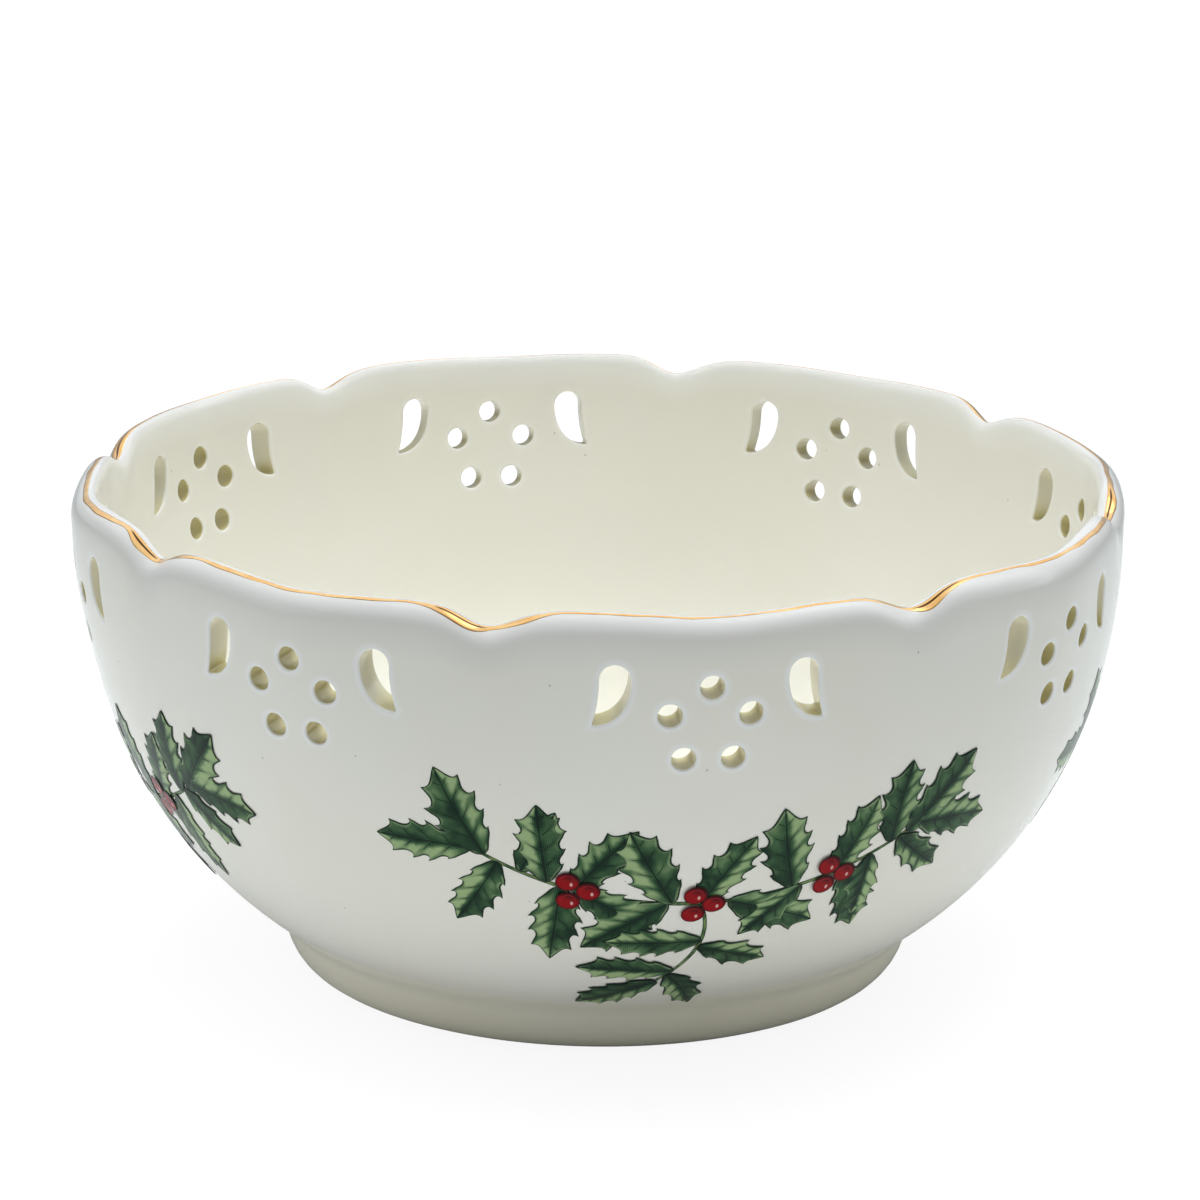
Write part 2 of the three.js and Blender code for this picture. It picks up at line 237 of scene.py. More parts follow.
def lobed(radius, z, angle):
    """A point of the turned form, swelled and lifted into the lobes."""
    aside = from_lobe(set_even(angle))
    rise = HUMP_RISE * (1 - notch_bell(aside)) - MID_DIP * bell(aside, DIP_SPREAD)
    swell = LOBE_BULGE * bell(aside, BULGE_SPREAD) * fade(z, BULGE_REACH)
    dimple = NOTCH_DIMPLE * notch_bell(aside) * fade(z, DIMPLE_REACH)
    radius += swell - dimple
    return Vector((radius * math.sin(angle), -radius * math.cos(angle), z + rise * fade(z, RISE_REACH)))


def outside(angle, z):
    return lobed(wall_radius(z), z, angle)


def inside(angle, z):
    normal = wall_normal(z)
    return lobed(wall_radius(z) - WALL * normal.x, z - WALL * normal.y, angle)


def over_lip(angle, turn, lift=0.0):
    """A point over the lip: its turn is 0 outside, a right angle at the crest, a half turn inside."""
    reach, rise = (LIP_LEAN, LIP_ROLL) if turn < math.pi / 2 else (WALL - LIP_LEAN, lip_round)
    across = math.cos(turn)
    up = math.sin(turn)
    away = Vector((across * rise, up * reach)).normalized() * lift
    return lobed(crest_radius + reach * across + away.x, LIP_HEIGHT - rise + rise * up + away.y, angle)


def outward(face, angle, z):
    across = face(angle + SMALL_TURN, z) - face(angle - SMALL_TURN, z)
    upward = face(angle, z + SMALL_RISE) - face(angle, z - SMALL_RISE)
    return across.cross(upward).normalized()


def bow(start, pull, end, steps):
    """Points of a quadratic curve, without its start."""
    points = []
    for i in range(1, steps + 1):
        t = i / steps
        ends = Vector(start) * (1 - t) ** 2 + Vector(end) * t * t
        points.append(ends + Vector(pull) * (2 * t * (1 - t)))
    return points


def lerp(a, b, t):
    return a + (b - a) * t


def smooth(low, high, value):
    share = min(max((value - low) / (high - low), 0), 1)
    return share * share * (3 - 2 * share)


# Meshes
class Clay:
    """Points, normals, attributes and faces of a piece while it is made."""

    def __init__(self, *attributes):
        self.points = []
        self.normals = []
        self.values = {name: [] for name in attributes}
        self.faces = []
        self.finishes = []

    def point(self, place, normal=(0, 0, 0), **values):
        self.points.append(Vector(place) * MM)
        self.normals.append(normal)
        for name, column in self.values.items():
            column.append(values.get(name, 0.0))
        return len(self.points) - 1

    def face(self, *corners, finish=0):
        self.faces.append(corners)
        self.finishes.append(finish)

    def strips(self, rows, closed=False, finish=0):
        for low, high in zip(rows, rows[1:]):
            count = len(low)
            for i in range(count if closed else count - 1):
                j = (i + 1) % count
                self.face(low[i], low[j], high[j], high[i], finish=finish)

    def piece(self, name, *finishes):
        mesh = bpy.data.meshes.new(name)
        mesh.from_pydata(self.points, [], self.faces)
        for finish in finishes:
            mesh.materials.append(finish.material)
        mesh.polygons.foreach_set("material_index", self.finishes)
        mesh.shade_smooth()
        for key, column in self.values.items():
            mesh.attributes.new(key, "FLOAT", "POINT").data.foreach_set("value", column)
        if any(tuple(normal) != (0, 0, 0) for normal in self.normals):
            mesh.normals_split_custom_set_from_vertices(self.normals)
        thing = bpy.data.objects.new(name, mesh)
        bpy.context.scene.collection.objects.link(thing)
        return thing


# Materials
class Wire:
    """A node's output that can be used in sums."""

    def __init__(self, finish, socket):
        self.finish = finish
        self.socket = socket

    def sum(self, operation, *values):
        return self.finish.node("Math", {"operation": operation}, dict(enumerate(values)))

    def __add__(self, other):
        return self.sum("ADD", self, other)

    def __radd__(self, other):
        return self.sum("ADD", other, self)

    def __sub__(self, other):
        return self.sum("SUBTRACT", self, other)

    def __rsub__(self, other):
        return self.sum("SUBTRACT", other, self)

    def __mul__(self, other):
        return self.sum("MULTIPLY", self, other)

    def __rmul__(self, other):
        return self.sum("MULTIPLY", other, self)

    def __truediv__(self, other):
        return self.sum("DIVIDE", self, other)

    def __rtruediv__(self, other):
        return self.sum("DIVIDE", other, self)

    def __abs__(self):
        return self.sum("ABSOLUTE", self)

    def wave(self):
        return self.sum("SINE", self)

    def part(self):
        return self.sum("FRACT", self)

    def most(self, other):
        return self.sum("MAXIMUM", self, other)

    def step(self, low, high):
        settings = {"interpolation_type": "SMOOTHSTEP"}
        sockets = {"Value": self, "From Min": low, "From Max": high}
        return self.finish.node("MapRange", settings, sockets)


class Finish:
    """A material, with one way to add any node."""

    def __init__(self, name, owner=None):
        self.material = owner or bpy.data.materials.new(name)
        self.material.use_nodes = True
        self.tree = self.material.node_tree
        self.tree.nodes.clear()

    def node(self, kind, settings=None, sockets=None, output=0):
        made = self.tree.nodes.new("ShaderNode" + kind)
        for key, value in (settings or {}).items():
            setattr(made, key, value)
        for key, value in (sockets or {}).items():
            if isinstance(value, Wire):
                self.tree.links.new(value.socket, made.inputs[key])
            else:
                made.inputs[key].default_value = value
        return Wire(self, made.outputs[output]) if made.outputs else made

    def value(self, name):
        return self.node("Attribute", {"attribute_name": name}, output="Fac")

    def noise(self, scale, detail, roughness):
        place = self.node("TexCoord", output="Object")
        sockets = {"Vector": place, "Scale": scale, "Detail": detail, "Roughness": roughness}
        return self.node("TexNoise", None, sockets)

    def blend(self, share, one, other):
        return self.node("Mix", {"data_type": "RGBA"}, {0: share, 6: one, 7: other}, output=2)

    def bump(self, height, strength, distance, under=None):
        sockets = {"Strength": strength, "Distance": distance, "Height": height}
        if under:
            sockets["Normal"] = under
        return self.node("Bump", None, sockets)

    def surface(self, **sockets):
        named = {key.replace("_", " "): value for key, value in sockets.items()}
        shader = self.node("BsdfPrincipled", None, named)
        self.node("OutputMaterial", None, {"Surface": shader})


def colour(red, green, blue):
    """A linear colour from the usual 0 to 255 values."""

    def plain(value):
        value /= 255
        return value / 12.92 if value <= 0.04045 else ((value + 0.055) / 1.055) ** 2.4

    return (plain(red), plain(green), plain(blue), 1)


def ivory_glaze():
    f = Finish("ivory_glaze")
    cloud = f.noise(16, 3, 0.55)
    depth = f.noise(45, 2, 0.5)
    clear = (0.895, 0.865, 0.785, 1)
    warm = (0.87, 0.83, 0.71, 1)
    pooled = (0.65, 0.575, 0.27, 1)
    biscuit = (0.78, 0.74, 0.64, 1)
    thinned = (0.73, 0.7, 0.675, 1)
    dust = (0.2, 0.19, 0.17, 1)
    painted_highlight_white = (0.95, 0.945, 0.93, 1)
    body = f.blend(cloud.step(0.38, 0.72) * 0.5, clear, warm)
    # Painted shade: greyer over the lip's roll and just under it, where the top lamp lights it most
    body = f.blend(f.value("thin"), body, thinned)
    # Pooled glaze that is partly painted shade: darker and yellower in the holes, in the cove and down the
    # foot
    body = f.blend(f.value("pool") * (0.75 + 0.25 * depth), body, pooled)
    place = f.node("TexCoord", output="Object")
    cells = {"Vector": place, "Scale": SPECK_CELLS}
    pick = f.node("SeparateColor", None, {"Color": f.node("TexVoronoi", None, cells, output="Color")})
    speck = (1 - f.node("TexVoronoi", None, cells).step(0.018, 0.045)) * pick.step(0.4, 0.43)
    body = f.blend(speck * 0.45, body, dust)
    # Painted highlight round the holes' rounded edges and along the inner lip
    body = f.blend(f.value("edge") * 0.7, body, painted_highlight_white)
    bare = f.value("bare")
    body = f.blend(bare, body, biscuit)
    rough = 0.1 + 0.05 * depth + 0.5 * bare
    ripple = f.bump(f.noise(22, 2, 0.4), 0.1, 0.002)
    peel = f.bump(f.noise(420, 2, 0.5), 0.05, 0.0002, ripple)
    f.surface(Base_Color=body, Roughness=rough, Normal=peel, IOR=1.5, Specular_IOR_Level=0.5)
    return f


def fired_gold():
    f = Finish("fired_gold")
    stroke = f.noise(160, 4, 0.6)
    thin = f.noise(60, 2, 0.5)
    deep = (0.88, 0.47, 0.15, 1)
    bright = (0.97, 0.63, 0.3, 1)
    burnt_brown = (0.12, 0.05, 0.015, 1)
    reflection_brown = (0.05, 0.016, 0.004, 1)
    up = f.value("up")
    body = f.blend(stroke.step(0.3, 0.7), deep, bright)
    burnt = (1 - up.step(0.05, 0.2)) * thin.step(0.35, 0.6)
    body = f.blend(burnt * 0.7, body, burnt_brown)
    # A painted dark reflection across the thick gold in a notch, where the band is widest
    painted_dark_reflection = up.step(0.48, 0.56) * (1 - up.step(0.66, 0.76)) * f.value("wide").step(0.3, 0.6)
    body = f.blend(painted_dark_reflection * 0.96, body, reflection_brown)
    rough = 0.08 + 0.1 * thin
    brush = f.bump(f.noise(700, 3, 0.6), 0.05, 0.0002)
    f.surface(Base_Color=body, Metallic=1.0, Roughness=rough, Normal=brush)
    return f


def fire_on(f, body, grain):
    """The low gloss that all the printed enamels have."""
    f.surface(Base_Color=body, Roughness=0.2 + 0.08 * grain, IOR=1.5, Specular_IOR_Level=PRINT_GLOSS)
    return f


def leaf_enamel():
    f = Finish("holly_leaf_enamel")
    shade = colour(17, 44, 31)
    green = colour(69, 105, 68)
    light_green = colour(168, 191, 138)
    pale_green = colour(162, 183, 136)
    dot_green = colour(24, 52, 38)
    ink = colour(8, 28, 20)
    hatch_turns = 9.5
    along = f.value("along")
    across = f.value("across")
    margin = f.value("margin")
    pitch = f.value("pitch").most(0.5)
    tone = f.value("tone")
    aside = abs(across)
    share = aside / f.value("width").most(0.2)
    cloud = f.noise(190, 2, 0.5)
    fine = f.noise(700, 2, 0.5)
    # Veins slant forwards from the midrib, and the blade swells between them
    slant = (along - 0.9 * aside) / pitch + 0.5 + 0.25 * (cloud - 0.5)
    between = abs(slant.part() - 0.5)
    swell = 0.58 + 0.42 * between.step(0.04, 0.34)
    # One half of the blade catches the light, and both are shaded towards the midrib and the stalk
    lit = (across * f.value("turned")).step(-0.6, 0.6)
    blade = share.step(0.02, 0.5) * (1 - 0.55 * share.step(0.72, 1.0))
    light = (0.24 + 0.62 * lit) * blade * swell + 1.1 * (cloud - 0.5) + 0.1
    light = light * (0.4 + 0.6 * (along / pitch).step(0.3, 1.6)) * tone
    hatch = ((along + across) * hatch_turns).wave() * ((along - across) * hatch_turns).wave()
    light = light + 0.2 * hatch
    body = f.blend(light.step(0.0, 0.42), shade, green)
    body = f.blend(light.step(0.36, 0.9), body, light_green)
    body = f.blend(hatch.step(0.1, 0.7) * 0.35, body, dot_green)
    tick = share.step(0.06, 0.14) * (1 - share.step(0.5, 0.75))
    tick = tick * (1 - (between * pitch).step(0.06, 0.2))
    rib = 1 - aside.step(0.06, 0.22)
    rim = margin.step(0.3, 0.45) * (1 - margin.step(0.6, 1.0)) * cloud.step(0.42, 0.6)
    body = f.blend(rim * 0.45, body, pale_green)
    line = (1 - margin.step(0.2, 0.36)).most(tick).most(rib * 0.85)
    body = f.blend(line * 0.9, body, ink)
    return fire_on(f, body, fine)


def stem_enamel():
    f = Finish("holly_stem_enamel")
    bark = colour(60, 92, 54)
    fresh = colour(124, 146, 92)
    outline = colour(22, 44, 32)
    grain = f.noise(500, 2, 0.5)
    body = f.blend(grain.step(0.35, 0.65), bark, fresh)
    body = f.blend(abs(f.value("across")).step(0.45, 0.8), body, outline)
    return fire_on(f, body, grain)


def berry_enamel():
    f = Finish("holly_berry_enamel")
    red = colour(150, 8, 18)
    dark_red = colour(56, 4, 9)
    rosy = colour(190, 30, 40)
    outline = colour(60, 5, 12)
    gleam = colour(236, 186, 178)
    along = f.value("along")
    across = f.value("across")
    edge = 1 - f.value("margin")
    grain = f.noise(900, 2, 0.5)
    shaded = (along + 0.35 * across + 0.15 * grain).step(-0.1, 0.9)
    body = f.blend(shaded, red, dark_red)
    ring = (edge.step(0.5, 0.62) - edge.step(0.62, 0.78)).most(0.0) * along.step(-0.2, 0.5)
    body = f.blend(ring * 0.5, body, rosy)
    body = f.blend(edge.step(0.8, 0.95) * 0.8, body, outline)
    spot_x = (across - 0.3) / 0.13
    spot_y = (along + 0.3) / 0.22
    spot = 1 - (spot_x * spot_x + spot_y * spot_y).step(0.5, 1.2)
    body = f.blend(spot * 0.85, body, gleam)
    return fire_on(f, body, grain)


# Bowl: rows of points that run from the underside over the foot, wall and lip to the floor
def column_angles():
    angles = []
    for i in range(LOBES * LOBE_COLUMNS):
        even = i / LOBE_COLUMNS - 0.5
        crowding = NOTCH_CROWDING * math.sin(2 * math.pi * even) / (2 * math.pi)
        angles.append(LOBE_ANGLE * (even + crowding))
    return angles


def under_profile():
    recess_ease = 2.0
    recess_fall = 1.6
    recess_draft = 0.5
    ring_ease = 0.9
    ring_draft = 0.3
    top = ring_inside - FOOT_DRAFT
    start = FOOT_HEIGHT + COVE
    hip = (FOOT_RADIUS, FOOT_HEIGHT - COVE / 2)
    points = [Vector((r, FOOT_RECESS)) for r in UNDER_RADII + (top - recess_ease,)]
    points += bow(points[-1], (top, FOOT_RECESS), (top + recess_draft, FOOT_RECESS - recess_fall), 5)
    points += bow((ring_inside - ring_draft, ring_ease), (ring_inside, 0), (ring_inside + ring_ease, 0), 4)
    points += [Vector((r, 0)) for r in RING_RADII]
    points += bow(points[-1], (FOOT_RADIUS - FOOT_DRAFT, 0), hip, 9)
    points += bow(hip, (FOOT_RADIUS, FOOT_HEIGHT), (wall_radius(start), start), 7)
    for i in range(1, WALL_ROWS):
        z = lerp(start, BAND_LOW, i / WALL_ROWS)
        points.append(Vector((wall_radius(z), z)))
    return points


def inner_profile():
    points = []
    start = FOOT_HEIGHT + COVE
    for i in range(1, WALL_ROWS + 1):
        z = lerp(BAND_LOW, start, i / WALL_ROWS)
        points.append(Vector((wall_radius(z), z)) - WALL * wall_normal(z))
    heel = points[-1]
    points += bow(heel, ((heel.x + FLOOR_RADIUS) / 2, FLOOR_HEIGHT), (FLOOR_RADIUS, FLOOR_HEIGHT), 14)
    return points + [Vector((r, FLOOR_HEIGHT)) for r in FLOOR_RADII]


def petal_loop(i):
    turn = math.pi / 2 + i * 2 * math.pi / PETALS
    loop = []
    middle = PETAL_CIRCLE * Vector((math.cos(turn), math.sin(turn)))
    for k in range(PETAL_STEPS):
        way = 2 * math.pi * k / PETAL_STEPS
        aside = Vector((math.cos(way), math.sin(way)))
        loop.append((middle + PETAL_RADIUS * aside, aside))
    return loop


def cubic(a, b, c, d, t):
    s = 1 - t
    return a * s**3 + b * (3 * s * s * t) + c * (3 * s * t * t) + d * t**3


def comma_loop(side):
    steps = COMMA_STEPS
    head = Vector((COMMA_SIDE, COMMA_RISE))
    tip = head + Vector((COMMA_TIP_SIDE, -COMMA_TIP_DROP))
    outer = head + Vector((COMMA_RADIUS, 0))
    inner = head - Vector((COMMA_RADIUS, 0))
    fine = [tip] + bow(tip, (outer + tip) / 2 - Vector((COMMA_HOLLOW, 0)), outer, steps)
    for k in range(1, steps):
        turn = math.pi * k / steps
        fine.append(head + COMMA_RADIUS * Vector((math.cos(turn), math.sin(turn))))
    belly = inner - Vector((0, COMMA_BELLY))
    fine += [cubic(inner, belly, Vector((head.x, tip.y)), tip, k / steps) for k in range(steps)]
    # Even spacing, then a little rounding of the point
    gaps = [(fine[(k + 1) % len(fine)] - fine[k]).length for k in range(len(fine))]
    whole = sum(gaps)
    even = []
    k = 0
    passed = 0.0
    for i in range(steps):
        target = whole * i / steps
        while passed + gaps[k] < target:
            passed += gaps[k]
            k += 1
        even.append(fine[k].lerp(fine[(k + 1) % len(fine)], (target - passed) / gaps[k]))
    for _ in range(2):
        even = [(even[i - 1] + 4 * even[i] + even[(i + 1) % steps]) / 6 for i in range(steps)]
    loop = []
    for i in range(steps):
        along = (even[(i + 1) % steps] - even[i - 1]).normalized()
        loop.append((even[i], Vector((along.y, -along.x))))
    if side < 0:
        loop = [(Vector((-p.x, p.y)), Vector((-n.x, n.y))) for p, n in reversed(loop)]
    return loop


class Pin:
    """The pin that makes one hole: it stands beside its lobe's middle and points into the wall."""

    def __init__(self, loop, side, shift):
        radius = wall_radius(PIERCING_HEIGHT)
        slope = Matrix.Rotation(-PIN_TILT, 2) @ wall_normal(PIERCING_HEIGHT)
        stand = (side + shift) / radius
        heading = (PIN_FAN * side + shift) / radius
        facing = Vector((math.sin(heading), -math.cos(heading), 0))
        level = Vector((0, 0, 1))
        self.loop = [(spot - Vector((side, 0)), aside) for spot, aside in loop]
        self.heart = Vector((radius * math.sin(stand), -radius * math.cos(stand), PIERCING_HEIGHT))
        self.across = Vector((math.cos(heading), math.sin(heading), 0))
        self.way = facing * slope.x + level * slope.y
        self.up = level * slope.x - facing * slope.y

    def meet(self, face, spot):
        """Angle and height at which the line through a spot of the pin's end meets a wall."""
        place = self.heart + self.across * spot.x + self.up * spot.y
        z = place.z
        for _ in range(MEET_ROUNDS):
            angle = math.atan2(place.x, -place.y)
            z += place.z - face(angle, z).z
            facing = Vector((math.sin(angle), -math.cos(angle), 0))
            gap = (face(angle, z) - place).dot(facing)
            place = place + self.way * (gap / self.way.dot(facing))
        return angle, z

    def rings(self, face, sign):
        """Rings from the wall over the eased edge into the hole: place, normal, angle, height."""
        rings = []
        for k in range(EASE_STEPS + 1):
            turn = math.pi / 2 * k / EASE_STEPS
            offset = HOLE_EASE * (1 - math.sin(turn))
            depth = HOLE_EASE * (1 - math.cos(turn))
            ring = []
            for spot, aside in self.loop:
                angle, z = self.meet(face, spot + aside * offset)
                away = self.across * aside.x + self.up * aside.y
                normal = sign * outward(face, angle, z) * math.cos(turn) - away * math.sin(turn)
                ring.append((face(angle, z) - sign * depth * self.way, normal.normalized(), angle, z))
            rings.append(ring)
        return rings


def lobe_pins(shift):
    pins = []
    for i in range(PETALS):
        side = PETAL_CIRCLE * math.cos(math.pi / 2 + i * 2 * math.pi / PETALS)
        pins.append(Pin(petal_loop(i), side, shift))
    for hand in (1, -1):
        pins.append(Pin(comma_loop(hand), hand * COMMA_SIDE, shift))
    return pins


def crosses(spot, loop):
    """Whether a spot lies in a loop."""
    inside_loop = False
    for a, b in zip(loop, loop[1:] + loop[:1]):
        if (a.y > spot.y) != (b.y > spot.y):
            if spot.x < a.x + (b.x - a.x) * (spot.y - a.y) / (b.y - a.y):
                inside_loop = not inside_loop
    return inside_loop


def flat(angle, z):
    """A spot of the wall, unrolled."""
    return Vector((angle * LIP_RADIUS, z))


def band_faces(loops, columns, heights):
    """Triangles of one lobe's pierced band, in (angle, height): its spots, its corners, its border's count.
    Spots come as the band's border, then the loops, then free ones."""
    wide_end = len(columns) - 1
    high_end = len(heights) - 1
    border = [(i, 0) for i in range(wide_end)] + [(wide_end, j) for j in range(high_end)]
    border += [(i, high_end) for i in range(wide_end, 0, -1)] + [(0, j) for j in range(high_end, 0, -1)]
    spots = [(columns[i], heights[j]) for i, j in border]
    edges = [(k, (k + 1) % len(border)) for k in range(len(border))]
    outlines = []
    for loop in loops:
        first = len(spots)
        spots += loop
        edges += [(first + k, first + (k + 1) % len(loop)) for k in range(len(loop))]
        outlines.append([flat(*spot) for spot in loop])
    for outline in outlines:
        middle = sum(outline, Vector((0, 0))) / len(outline)
        count = len(outline)
        for k in range(0, count, 2):
            along = (outline[(k + 1) % count] - outline[k - 1]).normalized()
            aside = Vector((along.y, -along.x))
            if (outline[k] - middle).dot(aside) < 0:
                aside = -aside
            spot = outline[k] + aside * HOLE_MARGIN
            spots.append((spot.x / LIP_RADIUS, spot.y))
    for i in range(1, wide_end):
        for j in range(1, high_end):
            spot = flat(columns[i], heights[j])
            near = min((spot - point).length for outline in outlines for point in outline)
            if near > CLEAR_OF_HOLE and not any(crosses(spot, outline) for outline in outlines):
                spots.append((columns[i], heights[j]))
    unrolled = [flat(*spot) for spot in spots]
    made, _, triangles, origins = delaunay_2d_cdt(unrolled, edges, [], 0, 1e-6, True)[:4]
    corners = []
    for triangle in triangles:
        middle = sum((made[k] for k in triangle), Vector((0, 0))) / 3
        if any(crosses(middle, outline) for outline in outlines):
            continue
        ids = [origins[k][0] for k in triangle]
        a, b, c = (unrolled[k] for k in ids)
        if (b - a).cross(c - a) < 0:
            ids.reverse()
        corners.append(ids)
    return spots, corners, len(border)


def lip_thinness(z):
    """How much shade is painted on the outside of the wall, towards the lip."""
    return WALL_PAINTED_SHADE * smooth(roll_start - WALL_SHADE_REACH, roll_start, z)


def hole_pool(count, spot):
    """How deeply the glaze pools in a hole, darkened also as painted shade: all round a petal, and in a
    comma mostly at its point.
    """
    if count < COMMA_STEPS:
        return 1.0
    to_point = smooth(COMMA_RISE - COMMA_POOL_AND_SHADE_START, COMMA_RISE - COMMA_TIP_DROP, spot.y)
    return lerp(COMMA_POOL_AND_SHADE, 1, to_point)


def hole_glaze(step, sign, z, count, spot):
    """Glaze on the eased edge of a hole, with painted shade towards the lip and a painted highlight, and,
    at its last step, pooled glaze with painted shade in the hole.
    """
    glaze = {"thin": lip_thinness(z) if sign > 0 else 0.0}
    if step == EASE_STEPS:
        glaze["pool"] = hole_pool(count, spot)
    else:
        glaze["edge"] = 1.0 if sign > 0 else INNER_EDGE_HIGHLIGHT
    return glaze


def line_hole(clay, tunnel):
    """The wall of a hole, with the eased edges at its ends."""
    outer = tunnel[EASE_STEPS]
    inner = tunnel[EASE_STEPS + 1]
    walls = []
    for k in range(1, HOLE_STEPS):
        share = k / HOLE_STEPS
        row = []
        for a, b in zip(outer, inner):
            place = clay.points[a].lerp(clay.points[b], share) / MM
            row.append(clay.point(place, clay.normals[a], pool=clay.values["pool"][a]))
        walls.append(row)
    clay.strips(tunnel[:EASE_STEPS + 1] + walls + tunnel[EASE_STEPS + 1:], closed=True)


def cast_bowl():
    clay = Clay("pool", "bare", "edge", "thin")
    angles = column_angles()
    lobe_columns = angles[:LOBE_COLUMNS + 1]
    count = len(angles)

    def ring_row(point, **values):
        return [clay.point(lobed(point.x, point.y, angle), **values) for angle in angles]

    rows = []
    for point in under_profile():
        # Pooled glaze with painted shade, darker towards the bottom of the foot and in the cove
        pool = 0.0
        if point.x > FOOT_BASE_RADIUS:
            low = FOOT_HEIGHT - FOOT_POOL_AND_SHADE_REACH
            high = FOOT_HEIGHT + FOOT_POOL_AND_SHADE_REACH
            pool = FOOT_POOL_AND_SHADE * (1 - smooth(low, high, point.y))
            pool += COVE_POOL_AND_SHADE * bell(point.y - FOOT_HEIGHT - 1, COVE_POOL_AND_SHADE_SPREAD)
        on_ring = ring_inside < point.x < FOOT_BASE_RADIUS + BARE_EDGE and point.y < BARE_HEIGHT
        rows.append(ring_row(point, pool=pool, bare=float(on_ring)))
    low_out = [clay.point(outside(a, BAND_LOW), outward(outside, a, BAND_LOW)) for a in angles]
    rows.append(low_out)
    clay.strips(rows, closed=True)
    centre = clay.point((0, 0, FOOT_RECESS))
    for i in range(count):
        clay.face(centre, rows[0][(i + 1) % count], rows[0][i])

    lip = []
    for k in range(LIP_STEPS + 1):
        turn = math.pi * k / LIP_STEPS
        # Painted shade over the lip's roll, and a painted highlight growing on its inner side
        thin = lerp(lip_thinness(roll_start), 1, smooth(0, FULLEST_SHADE, turn)) - smooth(*SHADE_FADING, turn)
        edge = INNER_LIP_HIGHLIGHT * smooth(*HIGHLIGHT_GROWING, turn)
        lip.append([clay.point(over_lip(angle, turn), thin=thin, edge=edge) for angle in angles])
    clay.strips(lip, closed=True)

    low_in = [clay.point(inside(a, BAND_LOW), -outward(inside, a, BAND_LOW)) for a in angles]
    inner_rows = [low_in] + [ring_row(point) for point in inner_profile()]
    clay.strips(inner_rows, closed=True)
    middle = clay.point((0, 0, FLOOR_HEIGHT))
    for i in range(count):
        clay.face(inner_rows[-1][i], inner_rows[-1][(i + 1) % count], middle)

    def wall_point(face, sign, angle, z):
        # Painted shade on the outside towards the lip, and a painted highlight on the inner lip
        thin = lip_thinness(z) if sign > 0 else 0.0
        edge = 0.0 if sign > 0 else INNER_LIP_HIGHLIGHT * smooth(spring - INNER_HIGHLIGHT_REACH, spring, z)
        return clay.point(face(angle, z), sign * outward(face, angle, z), thin=thin, edge=edge)

    seams = {}
    faces = ((outside, 1, low_out, lip[0], roll_start), (inside, -1, low_in, lip[-1], spring))
    for lobe in range(LOBES):
        turned = Matrix.Rotation(lobe * LOBE_ANGLE, 3, "Z")
        unturned = turned.transposed()
        first = lobe * LOBE_COLUMNS
        pins = lobe_pins(HAND_SHIFTS[lobe])
        tunnels = [[] for _ in pins]
        for face, sign, low, high, top in faces:
            heights = [lerp(BAND_LOW, top, j / BAND_ROWS) for j in range(BAND_ROWS + 1)]

            def own_face(angle, z):
                return unturned @ face(angle + lobe * LOBE_ANGLE, z)

            rings = [pin.rings(own_face, sign) for pin in pins]
            loops = [[(angle, z) for _, _, angle, z in ring[0]] for ring in rings]
            spots, corners, border = band_faces(loops, lobe_columns, heights)
            made = []
            for pin, ring in zip(pins, rings):
                made.append([])
                for k, loop in enumerate(ring):
                    row = []
                    for (place, normal, _, z), (spot, _) in zip(loop, pin.loop):
                        glaze = hole_glaze(k, sign, z, len(loop), spot)
                        row.append(clay.point(turned @ place, turned @ normal, **glaze))
                    made[-1].append(row)
            for tunnel, hole_rings in zip(tunnels, made):
                tunnel.extend(hole_rings[::sign])
            index = {}
            ring_ids = [k for ring in made for k in ring[0]]
            for k, (angle, z) in enumerate(spots):
                if k < border:
                    on_low = z == heights[0]
                    on_high = z == heights[-1]
                    column = min(range(len(lobe_columns)), key=lambda i: abs(lobe_columns[i] - angle))
                    if on_low or on_high:
                        index[k] = (low if on_low else high)[(first + column) % count]
                        continue
                    key = (sign, (lobe + (column > 0)) % LOBES, round(z, 4))
                    if key not in seams:
                        seams[key] = wall_point(face, sign, angle + lobe * LOBE_ANGLE, z)
                    index[k] = seams[key]
                elif k < border + len(ring_ids):
                    index[k] = ring_ids[k - border]
                else:
                    index[k] = wall_point(face, sign, angle + lobe * LOBE_ANGLE, z)
            for corner_ids in corners:
                clay.face(*(index[k] for k in corner_ids[::sign]))
        for tunnel in tunnels:
            line_hole(clay, tunnel)
    return clay.piece("bowl_casting", ivory_glaze())


